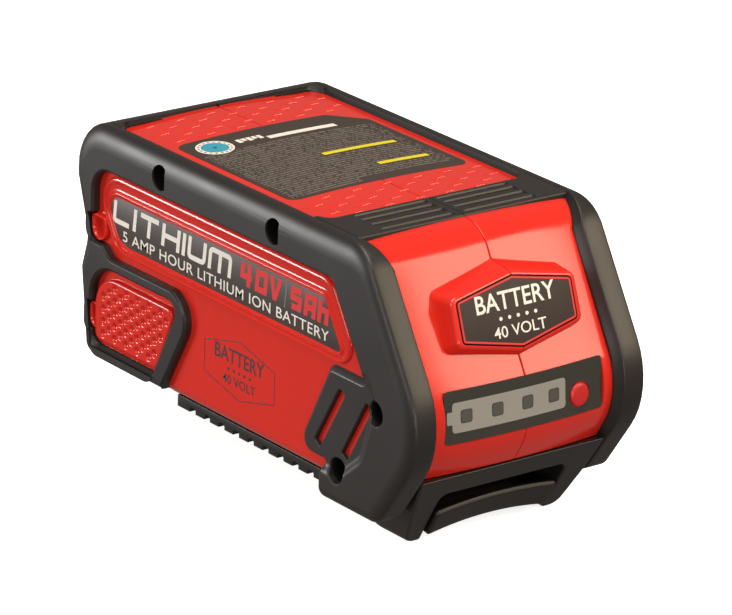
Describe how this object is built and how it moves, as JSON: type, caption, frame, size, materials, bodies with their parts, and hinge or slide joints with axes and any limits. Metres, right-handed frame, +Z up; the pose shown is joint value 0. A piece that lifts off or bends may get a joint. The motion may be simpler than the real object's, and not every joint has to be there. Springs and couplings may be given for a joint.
{
  "type": "rechargeable battery pack",
  "caption": "Clip-on lithium-ion battery pack for an ice fishing auger: red case with black bumpers, sprung gauge button and a release lever on a slide base.",
  "frame": {"origin": "middle of the pack on the surface that it stands on", "axes": "+Z up; +Y from the gauge end to the terminal end; +X across, to the right of someone who faces the gauge"},
  "size_m": [0.0956, 0.1913, 0.1017],
  "materials": {
    "case_red": "moulded ABS and polycarbonate, semi-gloss red",
    "bumper_black": "soft-touch overmoulded elastomer, fine satin texture",
    "label_dark": "printed polyester label, satin",
    "overlay_dark": "printed polycarbonate overlay, satin",
    "button_red": "silicone-topped button, satin red",
    "guide_white": "translucent light guide",
    "board_green": "solder-masked circuit board",
    "terminal_black": "glass-filled nylon",
    "terminal_brass": "plated contact metal",
    "base_black": "moulded glass-filled nylon, fine spark texture",
    "lever_black": "moulded acetal, satin",
    "steel": "zinc-plated steel",
    "nickel": "nickel sheet",
    "cell_wrap": "heat-shrunk sleeve",
    "holder_grey": "moulded flame-retardant plastic"
  },
  "bodies": {
    "pack": {"shell_left": "case_red", "shell_right": "case_red", "bumper_left": "bumper_black", "bumper_right": "bumper_black", "top_label": "label_dark", "side_label_left": "label_dark", "side_label_right": "label_dark", "badge_label": "label_dark", "gauge_overlay": "overlay_dark", "light_guide": "guide_white", "gauge_board": "board_green", "management_board": "board_green", "gauge_switch": "terminal_black", "slide_base": "base_black", "terminal_block": "terminal_black", "terminal_positive": "terminal_brass", "terminal_data": "terminal_brass", "terminal_sense": "terminal_brass", "terminal_negative": "terminal_brass", "lever_pin": "steel", "lever_spring": "steel", "cell_01": "cell_wrap", "cell_02": "cell_wrap", "cell_03": "cell_wrap", "cell_04": "cell_wrap", "cell_05": "cell_wrap", "cell_06": "cell_wrap", "cell_07": "cell_wrap", "cell_08": "cell_wrap", "cell_09": "cell_wrap", "cell_10": "cell_wrap", "cell_11": "cell_wrap", "cell_12": "cell_wrap", "cell_13": "cell_wrap", "cell_14": "cell_wrap", "cell_15": "cell_wrap", "cell_16": "cell_wrap", "cell_17": "cell_wrap", "cell_18": "cell_wrap", "cell_19": "cell_wrap", "cell_20": "cell_wrap", "cell_holder_left": "holder_grey", "cell_holder_right": "holder_grey", "bus_strip_left_1": "nickel", "bus_strip_left_2": "nickel", "bus_strip_left_3": "nickel", "bus_strip_left_4": "nickel", "bus_strip_left_5": "nickel", "bus_strip_right_1": "nickel", "bus_strip_right_2": "nickel", "bus_strip_right_3": "nickel", "bus_strip_right_4": "nickel", "bus_strip_right_5": "nickel", "bus_strip_right_6": "nickel", "case_screw_1": "steel", "case_screw_2": "steel", "case_screw_3": "steel", "case_screw_4": "steel"},
    "button": {"gauge_button": "button_red"},
    "lever": {"release_lever": "lever_black"}
  },
  "joints": [
    {"name": "button_press", "type": "slide", "parent": "pack", "child": "button", "axis": [0, 0.9963, -0.0855], "range_m": [0, 0.0008], "stiffness_N_per_m": 600, "springref_m": -0.0005},
    {"name": "lever_hinge", "type": "hinge", "parent": "pack", "child": "lever", "pos_m": [0, -0.062, 0.0092], "axis": [1, 0, 0], "range_deg": [0, 10], "stiffness_Nm_per_rad": 0.4, "springref_deg": -5.73, "deforming": ["lever_spring"]}
  ]
}
